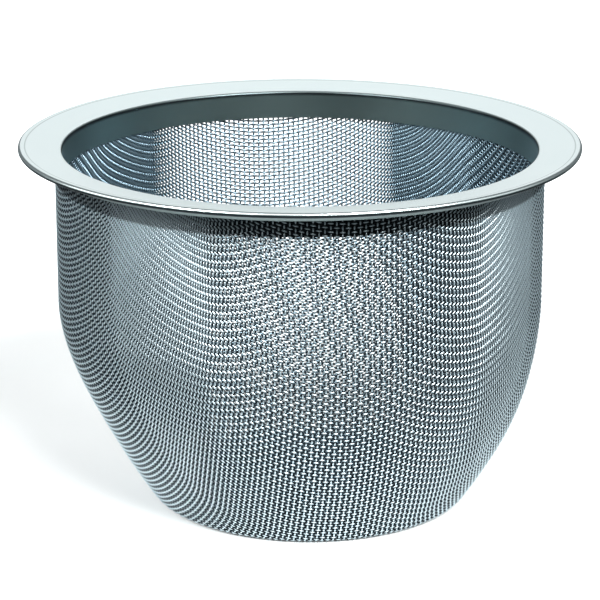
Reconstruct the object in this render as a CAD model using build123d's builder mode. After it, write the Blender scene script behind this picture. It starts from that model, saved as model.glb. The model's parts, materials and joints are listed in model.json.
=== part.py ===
from build123d import *
from math import atan2, cos, degrees, pi, sin, tan
import os

os.makedirs("parts", exist_ok=True)

# Basket strainer: a stamped steel rim ring, a deep bag of woven wire cloth that hangs from it,
# and a clamp ring that holds the turned-out edge of the cloth under the flange.
# The origin is on the axis, in the plane of the flat seat under the clamp ring. +Z points up.

# Sheet metal, mm
sheet = 0.28
gap = 0.02

# Rim ring
rim_radius = 45.0
collar_radius = 38.05
collar_depth = 4.7
bend_radius = 0.45
flange_rise = 0.78
hem_leg = 1.3
hem_radius = (3 * sheet + 2 * gap) / 2

# Woven cloth bag, measured over the wires
cloth = 0.6
bag_radius = 39.25
shoulder_z = -24.0
bottom_z = -57.2
bottom_radius = 25.6
bottom_corner = 2.4
taper_power = 1.72
lean = 1.6
lean_full_z = -48.0
brim_radius = 42.0
brim_corner = 0.5
bag_stations = 9

# Clamp ring
clamp_inner_radius = 39.95
land_radius = 42.35
lip_start_radius = 43.05
lip_end_radius = 44.4
joggle_radius = 0.35

# Heights that follow: seat, cloth edge and flange lie on each other
brim_bottom_z = sheet + gap
brim_top_z = brim_bottom_z + cloth
wall_top_z = brim_bottom_z - brim_corner
flange_z = brim_top_z + gap + sheet
collar_bottom_z = flange_z - collar_depth

# The flange rises outwards in a straight cone, from the bend to the hem it meets smoothly
bend_centre = (collar_radius + bend_radius, flange_z - bend_radius)
flange_span = rim_radius - hem_radius - bend_centre[0]
slope = atan2(flange_rise, flange_span)
flange_length = (flange_span + (bend_radius - hem_radius) * sin(slope)) / cos(slope)


def flange_top(radius):
    """Height of the flange's upper face at a distance from the axis."""
    return flange_z + (radius - bend_centre[0]) * tan(slope)


def bag_radius_at(z):
    """Outer radius of the bag: straight to the shoulder, then drawn in towards the bottom."""
    depth = (shoulder_z - z) / (shoulder_z - bottom_z)
    return bag_radius - (bag_radius - bottom_radius) * max(depth, 0) ** taper_power


def bag_lean_at(z):
    """Sideways lean of the bag below its shoulder, along +X."""
    depth = (shoulder_z - z) / (shoulder_z - lean_full_z)
    depth = min(max(depth, 0), 1)
    return lean * (1 - cos(pi * depth)) / 2


def bag_body(inset):
    """Solid shape of the bag, drawn in by an inset from its outer surface."""
    floor_z = bottom_z + inset
    with BuildPart() as body:
        with BuildSketch(Plane.XY.offset(shoulder_z)):
            Circle(bag_radius - inset)
        extrude(amount=wall_top_z - shoulder_z)
        for station in range(bag_stations + 1):
            z = shoulder_z + (floor_z - shoulder_z) * station / bag_stations
            with BuildSketch(Plane(origin=(bag_lean_at(z), 0, z))):
                Circle(bag_radius_at(z) - inset)
        loft()
        fillet(body.edges().sort_by(Axis.Z)[0], radius=bottom_corner - inset)
    return body.part


# Rim ring: collar, bend, flange and a hem rolled round the clamp ring's lip
with BuildPart() as rim_ring:
    with BuildSketch(Plane.XZ):
        with BuildLine():
            collar = Line((collar_radius, collar_bottom_z), (collar_radius, bend_centre[1]))
            bend = CenterArc(bend_centre, bend_radius, 180, degrees(slope) - 90)
            flange = PolarLine(bend @ 1, flange_length, degrees(slope))
            hem_centre = flange @ 1 + Vector(sin(slope), -cos(slope)) * hem_radius
            hem = CenterArc(hem_centre, hem_radius, 90 + degrees(slope), -180)
            leg = PolarLine(hem @ 1, hem_leg, 180 + degrees(slope))
            offset(amount=sheet, side=Side.LEFT)
        make_face()
    revolve(axis=Axis.Z)
rim_ring.part.label = "rim_ring"
export_step(rim_ring.part, "parts/rim_ring.step")

# Clamp ring: a flat land under the cloth edge, then a joggle up to a lip held in the hem
lip_drop = (2 * sheet + gap) / cos(slope)
with BuildPart() as clamp_ring:
    with BuildSketch(Plane.XZ):
        with BuildLine():
            FilletPolyline(
                (clamp_inner_radius, 0),
                (land_radius, 0),
                (lip_start_radius, flange_top(lip_start_radius) - lip_drop),
                (lip_end_radius, flange_top(lip_end_radius) - lip_drop),
                radius=joggle_radius,
            )
            offset(amount=sheet, side=Side.LEFT)
        make_face()
    revolve(axis=Axis.Z)
clamp_ring.part.label = "clamp_ring"
export_step(clamp_ring.part, "parts/clamp_ring.step")

# Mesh bag: the envelope of the woven cloth, open at the top, with its edge turned out flat
bag_outside = bag_body(0)
bag_inside = bag_body(cloth)
with BuildPart() as mesh_bag:
    add(bag_outside)
    add(bag_inside, mode=Mode.SUBTRACT)
    with BuildSketch(Plane.XZ):
        with BuildLine():
            CenterArc((bag_radius + brim_corner, wall_top_z), brim_corner, 180, -90)
            Line((bag_radius + brim_corner, brim_bottom_z), (brim_radius, brim_bottom_z))
            Line((brim_radius, brim_bottom_z), (brim_radius, brim_top_z))
            Line((brim_radius, brim_top_z), (bag_radius, brim_top_z))
            CenterArc((bag_radius, brim_bottom_z), cloth, 90, 90)
            Line((bag_radius - cloth, brim_bottom_z), (bag_radius - cloth, wall_top_z))
            Line((bag_radius - cloth, wall_top_z), (bag_radius, wall_top_z))
        make_face()
    revolve(axis=Axis.Z)
mesh_bag.part.label = "mesh_bag"
export_step(mesh_bag.part, "parts/mesh_bag.step")
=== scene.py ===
"""Looks for the basket strainer: a satin rim ring, a hidden clamp ring and a bag woven from single wires."""

import json
from math import atan2, cos, pi, radians, sin, tan

import bpy
import numpy as np
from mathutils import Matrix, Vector


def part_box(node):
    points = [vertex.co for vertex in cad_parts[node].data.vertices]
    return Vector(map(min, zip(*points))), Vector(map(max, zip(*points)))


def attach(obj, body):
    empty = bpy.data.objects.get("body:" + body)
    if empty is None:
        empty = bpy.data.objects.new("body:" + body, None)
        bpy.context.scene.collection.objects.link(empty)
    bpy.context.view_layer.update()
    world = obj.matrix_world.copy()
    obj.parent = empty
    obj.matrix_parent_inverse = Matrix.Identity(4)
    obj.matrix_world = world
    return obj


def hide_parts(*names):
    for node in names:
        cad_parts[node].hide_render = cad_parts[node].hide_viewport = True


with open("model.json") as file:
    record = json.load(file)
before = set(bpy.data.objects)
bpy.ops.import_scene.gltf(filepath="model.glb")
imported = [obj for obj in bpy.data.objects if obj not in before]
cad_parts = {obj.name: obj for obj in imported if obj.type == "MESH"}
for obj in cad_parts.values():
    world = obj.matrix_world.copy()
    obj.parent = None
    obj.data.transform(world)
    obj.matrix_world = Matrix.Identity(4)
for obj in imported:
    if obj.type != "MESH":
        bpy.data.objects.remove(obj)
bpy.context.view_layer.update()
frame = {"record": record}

MM = 0.001
BAKE_UV = "OFBake"
# Name of the stored height across the cloth from which the wire material paints highlight and shade
CROWN = "crown"
# Name of the stored mask of painted shade and painted reflection on the sheet metal rings
PAINTED_SHADE = "painted_shade"

# ---------------------------------------------------------------- sizes, in millimetres, from the frame
rim_low, rim_high = [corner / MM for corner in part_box("rim_ring")]
bag_low, bag_high = [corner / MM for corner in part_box("mesh_bag")]
clamp_low, clamp_high = [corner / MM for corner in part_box("clamp_ring")]
mounts = {mount["name"]: mount for mount in frame["record"]["mounts"]}
rim_radius = rim_high.x
collar_radius = mounts["mouth"]["dims"]["r_mm"]
collar_bottom = rim_low.z
wall_radius = mounts["pot_mouth_spigot"]["dims"]["r_mm"]

# Sheet metal of the two rings
sheet = 0.28
gap = 0.02
bend_radius = 0.45
flange_rise = 0.78
hem_leg = 1.3
seam_radius = 43.9
seam_half_width = 0.15
hem_radius = (3 * sheet + 2 * gap) / 2
clamp_inner_radius = 39.95
land_radius = 42.35
lip_start_radius = 43.05
joggle_radius = 0.35
ring_segments = 480

# Bag: straight wall down to the shoulder, taper to the bottom, rounded bottom edge and sideways lean
shoulder_z = -24.0
bottom_radius = 25.6
bottom_corner_radius = 2.4
taper_power = 1.72
lean_full_z = -48.0

# Woven cloth: wire diameter, the distances between crossings along the two families, cloth thickness
wire = 0.32
pitch_a = 0.66
pitch_b = 0.88
cloth = 0.6
crimp_height = (cloth - wire) / 2
brim_bend = 0.55

# The two leading wires run straight over the bag and cross square at the bottom's centre. Directions there
# are in degrees from the -Y side towards +X.
direction_a = 10
direction_b = direction_a - 90
rings_per_pitch = 3
wire_sides = 6
groups_a = 8
groups_b = 8

# ---------------------------------------------------------------- sheet metal rings


def arc(centre, radius, start, sweep, steps):
    """Points of an arc; angles in radians."""
    return [(centre[0] + radius * cos(start + sweep * k / steps),
             centre[1] + radius * sin(start + sweep * k / steps)) for k in range(steps + 1)]


def fillet_path(corners, radius, steps=8):
    """An open path through corners, each inner corner rounded by an arc."""
    path = [Vector(corners[0])]
    for before, corner, after in zip(corners, corners[1:], corners[2:]):
        before, corner, after = Vector(before), Vector(corner), Vector(after)
        inward = (before - corner).normalized()
        outward = (after - corner).normalized()
        half = inward.angle(outward) / 2
        reach = radius / tan(half)
        middle = corner + (inward + outward).normalized() * (radius / sin(half))
        start = corner + inward * reach - middle
        stop = corner + outward * reach - middle
        turn = start.angle_signed(stop)
        for k in range(steps + 1):
            angle = atan2(start.y, start.x) - turn * k / steps
            path.append(middle + Vector((cos(angle), sin(angle))) * radius)
    path.append(Vector(corners[-1]))
    return [tuple(point) for point in path]


def thicken(path, thickness):
    """Closed outline of a strip of sheet: the path and its copy offset to the right of its direction."""
    points = np.array(path)
    steps = np.diff(points, axis=0)
    keep = np.concatenate([[True], np.hypot(*steps.T) > 1e-6])
    points = points[keep]
    steps = np.diff(points, axis=0)
    steps /= np.hypot(*steps.T)[:, None]
    direction = np.concatenate([steps[:1], steps[:-1] + steps[1:], steps[-1:]])
    direction /= np.hypot(*direction.T)[:, None]
    share = np.concatenate([[1], np.sum(direction[1:-1] * steps[1:], axis=1), [1]])
    normal = np.stack([direction[:, 1], -direction[:, 0]], 1) / share[:, None]
    return np.concatenate([points, (points + normal * thickness)[::-1]])


def mesh_object(name, vertices, corner_lists, uv):
    """A mesh from arrays: vertices in mm, faces as (n, k) index arrays, one uv array per face array."""
    mesh = bpy.data.meshes.new(name)
    loops = np.concatenate([c.ravel() for c in corner_lists]).astype(np.int32)
    sizes = np.concatenate([np.full(len(c), c.shape[1]) for c in corner_lists])
    starts = np.concatenate([[0], np.cumsum(sizes)[:-1]]).astype(np.int32)
    mesh.vertices.add(len(vertices))
    mesh.vertices.foreach_set("co", (vertices * MM).astype(np.float32).ravel())
    mesh.loops.add(len(loops))
    mesh.loops.foreach_set("vertex_index", loops)
    mesh.polygons.add(len(starts))
    mesh.polygons.foreach_set("loop_start", starts)
    mesh.polygons.foreach_set("use_smooth", np.ones(len(starts), bool))
    layer = mesh.uv_layers.new(name=BAKE_UV)
    layer.data.foreach_set("uv", np.concatenate([u.reshape(-1, 2) for u in uv]).astype(np.float32).ravel())
    mesh.update(calc_edges=True)
    mesh.validate()
    piece = bpy.data.objects.new(name, mesh)
    bpy.context.scene.collection.objects.link(piece)
    return piece


def revolved(name, outline, material):
    """A closed outline of (radius, height) points turned about the Z axis, with a stored mask of painted
    shade and painted reflection.
    """
    count = len(outline)
    angle = 2 * pi * np.arange(ring_segments) / ring_segments
    radius, height = outline[:, 0], outline[:, 1]
    vertices = np.stack([np.outer(np.cos(angle), radius), np.outer(np.sin(angle), radius),
                         np.tile(height, (ring_segments, 1))], -1).reshape(-1, 3)
    k, p = np.meshgrid(np.arange(ring_segments), np.arange(count), indexing="ij")
    k, p = k.ravel(), p.ravel()
    k_next, p_next = (k + 1) % ring_segments, (p + 1) % count
    faces = np.stack([k * count + p, k * count + p_next, k_next * count + p_next, k_next * count + p], 1)
    along = np.concatenate([[0], np.cumsum(np.hypot(*(np.roll(outline, -1, 0) - outline).T))])
    along /= along[-1]
    u, u_next = k / ring_segments, (k + 1) / ring_segments
    uv = np.stack([np.stack([u, along[p]], 1), np.stack([u, along[p + 1]], 1),
                   np.stack([u_next, along[p + 1]], 1), np.stack([u_next, along[p]], 1)], 1)
    piece = mesh_object(name, vertices, [faces], [uv])
    # Mask of painted shade, 0 leaves the sheet bright and 1 paints it near black: a painted dark line 0.24
    # to 0.50 mm below the flange top under the bend, and a half-dark painted reflection on the collar below
    top = bag_high.z + gap + sheet
    painted_shade = np.interp(top - height, (0.10, 0.24, 0.50, 0.75), (0, 1, 1, 0.5))
    step = np.roll(outline, -1, 0) - np.roll(outline, 1, 0)
    facing = step[:, 0] / np.hypot(*step.T)
    # A painted dark line of shade in the seam crease where the hem starts
    seam = (seam_radius - seam_half_width, seam_radius, seam_radius + seam_half_width)
    painted_shade += np.interp(radius, seam, (0, 0.35, 0))
    # Beyond the seam the hem is painted darker as it turns to face down: painted shade on its underside
    painted_shade = np.where(radius > seam[2], np.interp(facing, (-0.05, 0.35), (1, 0)), painted_shade)
    # The sheet's second face (for the rim the collar's outer side, the flange's underside and the inside of
    # the hem) is painted near black as shade
    painted_shade = np.where(np.arange(count) >= count // 2, 1.0, painted_shade)
    layer = piece.data.attributes.new(PAINTED_SHADE, "FLOAT", "POINT")
    layer.data.foreach_set("value", np.tile(painted_shade, ring_segments).astype(np.float32))
    piece.data.set_sharp_from_angle(angle=radians(40))
    piece.data.materials.append(material)
    return piece


def rim_outline():
    """Section of the rim ring: collar, bend, rising flange and a hem rolled under."""
    flange_z = bag_high.z + gap + sheet
    centre = (collar_radius + bend_radius, flange_z - bend_radius)
    span = rim_radius - hem_radius - centre[0]
    slope = atan2(flange_rise, span)
    length = (span + (bend_radius - hem_radius) * sin(slope)) / cos(slope)
    path = [(collar_radius, collar_bottom), (collar_radius, centre[1] - bend_radius)]
    path += arc(centre, bend_radius, pi, slope - pi / 2, 14)
    start = path[-1]
    end = (start[0] + length * cos(slope), start[1] + length * sin(slope))
    for radius in (seam_radius - seam_half_width, seam_radius, seam_radius + seam_half_width):
        path.append((radius, start[1] + (radius - start[0]) * tan(slope)))
    hem = (end[0] + hem_radius * sin(slope), end[1] - hem_radius * cos(slope))
    path += arc(hem, hem_radius, pi / 2 + slope, -pi, 20)
    path.append((path[-1][0] - hem_leg * cos(slope), path[-1][1] - hem_leg * sin(slope)))
    return thicken(path, sheet)


def clamp_outline():
    """Section of the clamp ring: a flat land, a joggle and a lip held in the hem."""
    lip_rise = (clamp_high.z - sheet) - clamp_low.z
    slope = atan2(flange_rise, rim_radius - hem_radius - collar_radius - bend_radius)
    lip_start_z = lip_rise - (clamp_high.x - lip_start_radius) * tan(slope)
    corners = [(clamp_inner_radius, clamp_low.z), (land_radius, clamp_low.z),
               (lip_start_radius, lip_start_z), (clamp_high.x, lip_rise)]
    return thicken(fillet_path(corners, joggle_radius), -sheet)


# ---------------------------------------------------------------- woven cloth


def bag_meridian():
    """Half section of the cloth's middle surface, from the bottom's centre to the brim: arc length, r, z."""
    half = cloth / 2
    bottom_z = bag_low.z
    z = np.linspace(shoulder_z, bottom_z, 1500)
    depth = (shoulder_z - z) / (shoulder_z - bottom_z)
    r = wall_radius - (wall_radius - bottom_radius) * depth ** taper_power
    normal = np.stack([np.ones_like(r), -np.gradient(r, z)], 1)
    normal /= np.hypot(*normal.T)[:, None]
    taper = np.stack([r, z], 1) - normal * half
    radius = bottom_corner_radius - half
    centres = taper - normal * radius
    last = np.argmin(abs(centres[:, 1] - (bottom_z + half + radius)))
    angle = np.linspace(-pi / 2, atan2(normal[last, 1], normal[last, 0]), 40)
    corner_arc = np.stack([centres[last, 0] + radius * np.cos(angle),
                           bottom_z + half + radius + radius * np.sin(angle)], 1)
    brim_z = bag_high.z - half
    bend = (wall_radius - half + brim_bend, brim_z - brim_bend)
    angle = np.linspace(pi, pi / 2, 24)
    points = np.concatenate([
        np.stack([np.linspace(0, centres[last, 0], 300), np.full(300, bottom_z + half)], 1),
        corner_arc[1:],
        taper[:last][::-1],
        np.stack([np.full(200, wall_radius - half), np.linspace(shoulder_z, bend[1], 201)[1:]], 1),
        np.stack([bend[0] + brim_bend * np.cos(angle), bend[1] + brim_bend * np.sin(angle)], 1)[1:],
        np.stack([np.linspace(bend[0], bag_high.x + 4, 80)[1:], np.full(79, brim_z)], 1)])
    length = np.concatenate([[0], np.cumsum(np.hypot(*np.diff(points, axis=0).T))])
    even = np.linspace(0, length[-1], 6000)
    return even, np.interp(even, length, points[:, 0]), np.interp(even, length, points[:, 1])


meridian_s, meridian_r, meridian_z = bag_meridian()
brim_s = np.interp(bag_high.x - 0.1, meridian_r[-400:], meridian_s[-400:])
lean = mounts["bag_bottom"]["pos_m"][0] / MM


def cloth_point(uv):
    """A point of the middle surface. uv has the azimuth of a point and its distance from the bottom's centre
    along the cloth, as a plane vector; azimuth 0 is the -Y side and +90 degrees the +X side."""
    s = np.hypot(uv[..., 0], uv[..., 1])
    azimuth = np.arctan2(uv[..., 1], uv[..., 0])
    r = np.interp(s, meridian_s, meridian_r)
    z = np.interp(s, meridian_s, meridian_z)
    share = np.clip((shoulder_z - z) / (shoulder_z - lean_full_z), 0, 1)
    shift = lean * (1 - np.cos(pi * share)) / 2
    return np.stack([shift + r * np.sin(azimuth), -r * np.cos(azimuth), z], -1)


def cloth_slopes(uv, point):
    """The surface's derivatives along u and v."""
    step = 1e-3
    along_u = (cloth_point(uv + [step, 0]) - point) / step
    along_v = (cloth_point(uv + [0, step]) - point) / step
    return along_u, along_v


def unit(vectors):
    return vectors / np.linalg.norm(vectors, axis=-1)[..., None]


def leading_wire(direction, pitch, reach):
    """Crossings along a wire that leaves the bottom's centre in a direction and runs straight on."""
    uv = np.zeros(2)
    point = cloth_point(uv)
    along_u, along_v = cloth_slopes(uv, point)
    normal = unit(np.cross(along_u, along_v))
    heading = unit(along_u * cos(direction) + along_v * sin(direction))
    crossings = [uv]
    while np.hypot(*uv) < reach and len(crossings) < 400:
        side = np.cross(normal, heading)
        start = point
        uv = uv + np.linalg.lstsq(np.stack([along_u, along_v], 1), heading * pitch, rcond=None)[0]
        for _ in range(6):
            point = cloth_point(uv)
            along_u, along_v = cloth_slopes(uv, point)
            away = point - start
            distance = np.linalg.norm(away)
            miss = [distance - pitch, away @ side]
            matrix = [[away @ along_u / distance, away @ along_v / distance],
                      [side @ along_u, side @ along_v]]
            step = np.linalg.solve(matrix, miss)
            uv = uv - step / max(1, np.hypot(*step) / (pitch / 2))
        point = cloth_point(uv)
        along_u, along_v = cloth_slopes(uv, point)
        normal = unit(np.cross(along_u, along_v))
        heading = point - start
        heading = unit(heading - normal * (heading @ normal))
        crossings.append(uv)
    return crossings


def woven_net():
    """Crossings of a net of rods of fixed length: uv of crossing [i, j], NaN outside the cloth."""
    reach = brim_s + 2
    half = int(reach / pitch_a * 1.45)
    net = np.full((2 * half + 1, 2 * half + 1, 2), np.nan)
    for sign, half_turn in ((1, 0), (-1, pi)):
        for k, uv in enumerate(leading_wire(radians(direction_a) + half_turn, pitch_a, reach)):
            net[half + sign * k, half] = uv
        for k, uv in enumerate(leading_wire(radians(direction_b) + half_turn, pitch_b, reach)):
            net[half, half + sign * k] = uv
    for sign_i in (1, -1):
        for sign_j in (1, -1):
            for k in range(2, 2 * half):
                i = np.arange(max(1, k - half), min(half, k - 1) + 1)
                row, column = half + sign_i * i, half + sign_j * (k - i)
                left, below = net[row - sign_i, column], net[row, column - sign_j]
                corner = net[row - sign_i, column - sign_j]
                live = ~np.isnan(left + below + corner).any(1)
                live &= np.minimum(np.hypot(*left.T), np.hypot(*below.T)) < reach
                if not live.any():
                    if k > half / 4:
                        break
                    continue
                net[row[live], column[live]] = knot(left[live], below[live], corner[live])
    return net, half


def knot(left, below, corner):
    """The crossing at pitch_a from left and pitch_b from below, opposite to corner."""
    from_left, from_below = cloth_point(left), cloth_point(below)
    uv = left + below - corner
    for _ in range(7):
        point = cloth_point(uv)
        along_u, along_v = cloth_slopes(uv, point)
        rod_a, rod_b = point - from_left, point - from_below
        length_a, length_b = np.linalg.norm(rod_a, axis=1), np.linalg.norm(rod_b, axis=1)
        a_u, a_v = np.sum(rod_a * along_u, 1) / length_a, np.sum(rod_a * along_v, 1) / length_a
        b_u, b_v = np.sum(rod_b * along_u, 1) / length_b, np.sum(rod_b * along_v, 1) / length_b
        miss_a, miss_b = length_a - pitch_a, length_b - pitch_b
        area = a_u * b_v - a_v * b_u
        area = np.where(abs(area) < 1e-3, 1e-3, area)
        step = np.stack([b_v * miss_a - a_v * miss_b, a_u * miss_b - b_u * miss_a], 1) / area[:, None]
        uv = uv - step / np.maximum(1, np.hypot(*step.T) / (pitch_a / 2))[:, None]
    point = cloth_point(uv)
    miss = abs(np.linalg.norm(point - from_left, axis=1) - pitch_a)
    uv[miss > pitch_a / 20] = np.nan
    return uv


def wire_path(uv, parity):
    """Centre line of one wire through its crossings, crimped and cut at the brim, with surface normals."""
    s = np.hypot(*uv.T)
    inside = np.flatnonzero(s <= brim_s)
    if len(inside) < 4:
        return None
    first, last = inside[0], inside[-1]
    start, stop = float(first), float(last)
    if first > 0:
        start = first - (brim_s - s[first]) / (s[first - 1] - s[first])
    if last < len(s) - 1:
        stop = last + (brim_s - s[last]) / (s[last + 1] - s[last])
    t = np.arange(np.ceil(start * rings_per_pitch), stop * rings_per_pitch + 1e-9) / rings_per_pitch
    t = np.unique(np.round(np.concatenate([[start], t, [stop]]), 6))
    t = t[np.concatenate([[True], np.diff(t) > 0.12])]
    points = cloth_point(uv)
    along_u, along_v = cloth_slopes(uv, points)
    normals = unit(np.cross(along_v, along_u))
    k = np.clip(np.floor(t).astype(int), 0, len(uv) - 2)
    f = (t - k)[:, None]
    p0, p1 = points[np.maximum(k - 1, 0)], points[k]
    p2, p3 = points[k + 1], points[np.minimum(k + 2, len(uv) - 1)]
    centre = p1 + f * ((p2 - p0) + f * ((2 * p0 - 5 * p1 + 4 * p2 - p3) + f * (3 * (p1 - p2) + p3 - p0))) / 2
    normal = unit(normals[k] * (1 - f) + normals[k + 1] * f)
    crimp = np.cos(pi * t) * (1 if parity % 2 == 0 else -1) * crimp_height
    return centre + normal * crimp[:, None], normal, (t - t[0]) / (t[-1] - t[0]), crimp


def tube_group(name, paths, material):
    """One piece holding closed tubes along paths."""
    vertices, quads, caps, quad_uv, cap_uv, crown = [], [], [], [], [], []
    start = 0
    turn = 2 * pi * np.arange(wire_sides) / wire_sides
    row_height = 1 / len(paths)
    for row, (centre, normal, u, crimp) in enumerate(paths):
        tangent = unit(np.gradient(centre, axis=0))
        side = unit(np.cross(tangent, normal))
        up = np.cross(side, tangent)
        rings = centre[:, None] + wire / 2 * (np.cos(turn)[None, :, None] * up[:, None]
                                              + np.sin(turn)[None, :, None] * side[:, None])
        count = len(centre)
        vertices.append(rings.reshape(-1, 3))
        # Height of each point across the cloth, stored as crown, from which the wire material paints
        # highlight and shade
        height = crimp[:, None] + wire / 2 * np.cos(turn)[None] * np.sum(up * normal, axis=1)[:, None]
        crown.append(0.5 + height.ravel() / cloth)
        k, q = np.meshgrid(np.arange(count - 1), np.arange(wire_sides), indexing="ij")
        k, q = k.ravel(), q.ravel()
        q_next = (q + 1) % wire_sides
        quads.append(start + np.stack([k * wire_sides + q, k * wire_sides + q_next,
                                       (k + 1) * wire_sides + q_next, (k + 1) * wire_sides + q], 1))
        low = (row + q / wire_sides * 0.98) * row_height
        high = (row + (q + 1) / wire_sides * 0.98) * row_height
        quad_uv.append(np.stack([np.stack([u[k], low], 1), np.stack([u[k], high], 1),
                                 np.stack([u[k + 1], high], 1), np.stack([u[k + 1], low], 1)], 1))
        first = np.arange(wire_sides)
        caps.append(start + np.stack([first[::-1], first + (count - 1) * wire_sides]))
        middle = (row + 0.5) * row_height
        cap_uv.append(np.array([[[0.0, middle]] * wire_sides, [[1.0, middle]] * wire_sides]))
        start += count * wire_sides
    piece = mesh_object(name, np.concatenate(vertices), [np.concatenate(quads), np.concatenate(caps)],
                        [np.concatenate(quad_uv).reshape(-1, 2), np.concatenate(cap_uv).reshape(-1, 2)])
    layer = piece.data.attributes.new(CROWN, "FLOAT", "POINT")
    layer.data.foreach_set("value", np.concatenate(crown).astype(np.float32))
    piece.data.materials.append(material)
    return piece


def weave(material):
    """All wires of the bag, in groups of neighbouring wires."""
    net, half = woven_net()
    pieces = []
    for family, groups in (("warp", groups_a), ("weft", groups_b)):
        paths = []
        for index in range(2 * half + 1):
            uv = net[:, index] if family == "warp" else net[index]
            live = np.flatnonzero(~np.isnan(uv[:, 0]))
            if len(live) < 4:
                continue
            parity = index + live[0] + (0 if family == "warp" else 1)
            path = wire_path(uv[live], parity)
            if path is not None:
                paths.append(path)
        total = sum(len(path[0]) for path in paths)
        chunk, size, number = [], 0, 1
        for path in paths:
            chunk.append(path)
            size += len(path[0])
            if size >= total / groups or path is paths[-1]:
                pieces.append(tube_group(f"{family}_wires_{number}", chunk, material))
                chunk, size, number = [], 0, number + 1
    return pieces


# ---------------------------------------------------------------- materials


def new_material(name):
    """A material with its node tree and its shader."""
    material = bpy.data.materials.new(name)
    material.use_nodes = True
    tree = material.node_tree
    return material, tree, tree.nodes["Principled BSDF"]


def object_place(tree):
    """The shaded point in metres, in the object's own frame."""
    return tree.nodes.new("ShaderNodeTexCoord").outputs["Object"]


def split_place(tree, place):
    """X, Y and Z of a place."""
    node = tree.nodes.new("ShaderNodeSeparateXYZ")
    tree.links.new(place, node.inputs[0])
    return node.outputs["X"], node.outputs["Y"], node.outputs["Z"]


def stored(tree, name):
    """A value stored on the mesh's vertices."""
    node = tree.nodes.new("ShaderNodeAttribute")
    node.attribute_name = name
    return node.outputs["Fac"]


def calculated(tree, operation, *values):
    """The result of a maths operation on up to three values."""
    node = tree.nodes.new("ShaderNodeMath")
    node.operation = operation
    for slot, value in enumerate(values):
        tree.links.new(value, node.inputs[slot])
    return node.outputs[0]


def noise(tree, place, scale, detail):
    """Noise about `scale` times per metre."""
    node = tree.nodes.new("ShaderNodeTexNoise")
    node.inputs["Scale"].default_value = scale
    node.inputs["Detail"].default_value = detail
    tree.links.new(place, node.inputs["Vector"])
    return node.outputs["Fac"]


def remapped(tree, value, source, target, interpolation="LINEAR"):
    """A value carried from its source range to a target range, and held at the ends."""
    node = tree.nodes.new("ShaderNodeMapRange")
    node.interpolation_type = interpolation
    node.inputs["From Min"].default_value, node.inputs["From Max"].default_value = source
    node.inputs["To Min"].default_value, node.inputs["To Max"].default_value = target
    tree.links.new(value, node.inputs["Value"])
    return node.outputs[0]


def blended(tree, factor, first, second):
    """A colour between two fixed colours."""
    node = tree.nodes.new("ShaderNodeMix")
    node.data_type = "RGBA"
    node.inputs["A"].default_value = (*first, 1)
    node.inputs["B"].default_value = (*second, 1)
    tree.links.new(factor, node.inputs["Factor"])
    return node.outputs["Result"]


def multiplied(tree, first, second):
    """The product of two colours."""
    node = tree.nodes.new("ShaderNodeMix")
    node.data_type = "RGBA"
    node.blend_type = "MULTIPLY"
    node.inputs["Factor"].default_value = 1
    tree.links.new(first, node.inputs["A"])
    tree.links.new(second, node.inputs["B"])
    return node.outputs["Result"]


def ramp(tree, value, stops, interpolation="LINEAR"):
    """A colour by value, through stops of (position, colour)."""
    node = tree.nodes.new("ShaderNodeValToRGB")
    node.color_ramp.interpolation = interpolation
    elements = node.color_ramp.elements
    for element, (position, colour) in zip(elements, (stops[0], stops[-1])):
        element.position = position
        element.color = (*colour, 1)
    for position, colour in stops[1:-1]:
        elements.new(position).color = (*colour, 1)
    tree.links.new(value, node.inputs[0])
    return node.outputs["Color"]


def satin_steel(name, light, dark, roughness):
    """Spun stainless sheet: concentric hair lines, cloudy colour, an uneven satin polish, and painted shade
    and painted reflection from the stored mask.
    """
    material, tree, shader = new_material(name)
    links = tree.links
    place = object_place(tree)
    x, y, z = split_place(tree, place)
    radius_squared = calculated(tree, "MULTIPLY_ADD", y, y, calculated(tree, "MULTIPLY", x, x))
    radius = calculated(tree, "SQRT", radius_squared)
    turned_place = tree.nodes.new("ShaderNodeCombineXYZ")
    links.new(radius, turned_place.inputs["X"])
    links.new(z, turned_place.inputs["Z"])
    hair_lines = noise(tree, turned_place.outputs[0], 9000, 3)
    clouds = noise(tree, place, 90, 4)
    # Painted shade and reflection from the mask: white at 0, a grey-green painted reflection tone at 0.5 for
    # the collar, near black painted shade at 1
    shade = ramp(tree, stored(tree, PAINTED_SHADE),
                 ((0, (1, 1, 1)), (0.5, (0.32, 0.375, 0.365)), (1, (0.04, 0.045, 0.05))))
    bump = tree.nodes.new("ShaderNodeBump")
    bump.inputs["Strength"].default_value = 0.06
    bump.inputs["Distance"].default_value = 0.02 * MM
    links.new(hair_lines, bump.inputs["Height"])
    shader.inputs["Metallic"].default_value = 1.0
    links.new(multiplied(tree, blended(tree, clouds, dark, light), shade), shader.inputs["Base Color"])
    polish = remapped(tree, hair_lines, (0, 1), (roughness - 0.05, roughness + 0.07))
    links.new(polish, shader.inputs["Roughness"])
    links.new(bump.outputs[0], shader.inputs["Normal"])
    return material


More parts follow.
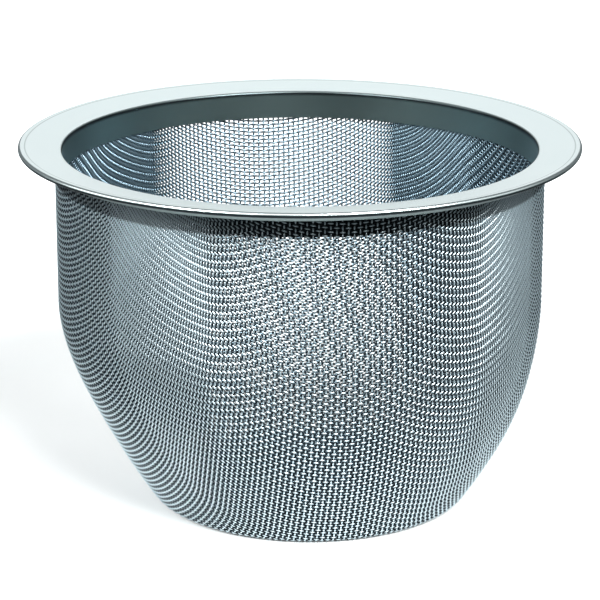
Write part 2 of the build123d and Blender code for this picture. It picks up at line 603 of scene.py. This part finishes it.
def drawn_wire(name):
    """Drawn stainless wire: a painted highlight on its crowns, painted shade in the hollows, and a painted
    shadow where it passes the collar under the rim.
    """
    material, tree, shader = new_material(name)
    place = object_place(tree)
    tint = blended(tree, noise(tree, place, 700, 3), (0.62, 0.74, 0.79), (0.76, 0.89, 0.94))
    # Painted highlight and shade by height: white painted highlight on the outer crowns, near black painted
    # shade in the hollows and on the wires' sides, a mid tone on the inner crowns
    shade = ramp(tree, stored(tree, CROWN),
                 ((0, (0.42, 0.49, 0.53)), (0.30, (0.22, 0.27, 0.31)), (0.48, (0.04, 0.05, 0.06)),
                  (0.71, (0.015, 0.02, 0.024)), (0.89, (1, 1, 1))), "EASE")
    # Painted shadow under the rim: wires above the collar's bottom edge are darkened to 0.35 of their colour
    height = split_place(tree, place)[2]
    band_edge = ((collar_bottom - 0.2) * MM, (collar_bottom + 0.2) * MM)
    dim = tree.nodes.new("ShaderNodeVectorMath")
    dim.operation = "SCALE"
    tree.links.new(multiplied(tree, tint, shade), dim.inputs[0])
    tree.links.new(remapped(tree, height, band_edge, (1, 0.35)), dim.inputs["Scale"])
    shader.inputs["Metallic"].default_value = 1.0
    tree.links.new(dim.outputs[0], shader.inputs["Base Color"])
    polish = remapped(tree, noise(tree, place, 60, 2), (0, 1), (0.28, 0.42))
    tree.links.new(polish, shader.inputs["Roughness"])
    return material


def floor_paint(name):
    """Pale floor for the camera. Reflections see it pale only near the object and dark farther away."""
    material, tree, shader = new_material(name)
    away = tree.nodes.new("ShaderNodeVectorMath")
    away.operation = "LENGTH"
    tree.links.new(object_place(tree), away.inputs[0])
    distance = away.outputs["Value"]
    camera_ray = tree.nodes.new("ShaderNodeLightPath").outputs["Is Camera Ray"]
    glow = remapped(tree, distance, (0.03, 0.30), (0, 0.75), "SMOOTHSTEP")
    near = remapped(tree, distance, (0.05, 0.12), (1, 0), "SMOOTHSTEP")
    pale = calculated(tree, "MAXIMUM", near, camera_ray)
    shader.inputs["Roughness"].default_value = 0.8
    shader.inputs["Emission Color"].default_value = (0.96, 1.0, 1.0, 1)
    tree.links.new(calculated(tree, "MULTIPLY", glow, camera_ray), shader.inputs["Emission Strength"])
    tree.links.new(blended(tree, pale, (0.10, 0.12, 0.13), (0.85, 0.87, 0.87)), shader.inputs["Base Color"])
    return material


# ---------------------------------------------------------------- the object

rim_steel = satin_steel("rim_steel", (0.80, 0.90, 0.90), (0.76, 0.87, 0.88), 0.30)
clamp_steel = satin_steel("clamp_steel", (0.72, 0.76, 0.77), (0.62, 0.66, 0.68), 0.36)
wire_steel = drawn_wire("wire_steel")

rim = revolved("rim", rim_outline(), rim_steel)
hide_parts("rim_ring")
clamp = revolved("clamp", clamp_outline(), clamp_steel)
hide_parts("clamp_ring")
wires = weave(wire_steel)
for piece in wires:
    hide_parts("mesh_bag")
for piece in [rim, clamp] + wires:
    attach(piece, "root")

# ---------------------------------------------------------------- stage, lights and camera


def area_light(name, place, aim, size, power):
    light = bpy.data.lights.new(name, "AREA")
    light.shape = "RECTANGLE"
    light.size, light.size_y = size
    light.energy = power
    lamp = bpy.data.objects.new(name, light)
    bpy.context.scene.collection.objects.link(lamp)
    lamp.location = place
    lamp.rotation_euler = (Vector(aim) - Vector(place)).to_track_quat("-Z", "Y").to_euler()


floor_reach = 4.0
floor_z = bag_low.z * MM
floor_mesh = bpy.data.meshes.new("floor")
floor_mesh.from_pydata([(-floor_reach, -floor_reach, floor_z), (floor_reach, -floor_reach, floor_z),
                        (floor_reach, floor_reach, floor_z), (-floor_reach, floor_reach, floor_z)],
                       [], [(0, 1, 2, 3)])
floor_mesh.materials.append(floor_paint("floor"))
floor = bpy.data.objects.new("floor", floor_mesh)
bpy.context.scene.collection.objects.link(floor)

world = bpy.data.worlds.new("studio")
bpy.context.scene.world = world
world.use_nodes = True
sky = world.node_tree.nodes["Background"]
sky.inputs["Color"].default_value = (0.86, 0.93, 0.96, 1)
sky.inputs["Strength"].default_value = 0.15

middle = (0, 0, bag_low.z / 2 * MM)
area_light("key", (0.58, -0.88, 0.85), middle, (0.8, 0.5), 35)
area_light("fill", (-0.80, -0.80, 0.80), middle, (0.7, 0.5), 21)
area_light("right", (1.40, -0.10, 0.50), middle, (1.0, 0.8), 2)
area_light("left", (-1.40, -0.10, 0.50), middle, (1.0, 0.8), 6)
area_light("back", (0, 1.50, 0.35), middle, (0.7, 0.9), 1.65)
area_light("top", (0, 1.40, 1.05), middle, (0.7, 0.5), 1.15)

view_elevation = radians(17.2)
view_distance = 436.5
aim_z = -25
camera_data = bpy.data.cameras.new("camera")
camera_data.sensor_width = 36
camera_data.lens = 160.6
camera = bpy.data.objects.new("camera", camera_data)
bpy.context.scene.collection.objects.link(camera)
camera.location = Vector((0, -view_distance * cos(view_elevation),
                          aim_z + view_distance * sin(view_elevation))) * MM
camera.rotation_euler = (pi / 2 - view_elevation, 0, 0)
bpy.context.scene.camera = camera
bpy.context.scene.view_settings.view_transform = "Standard"
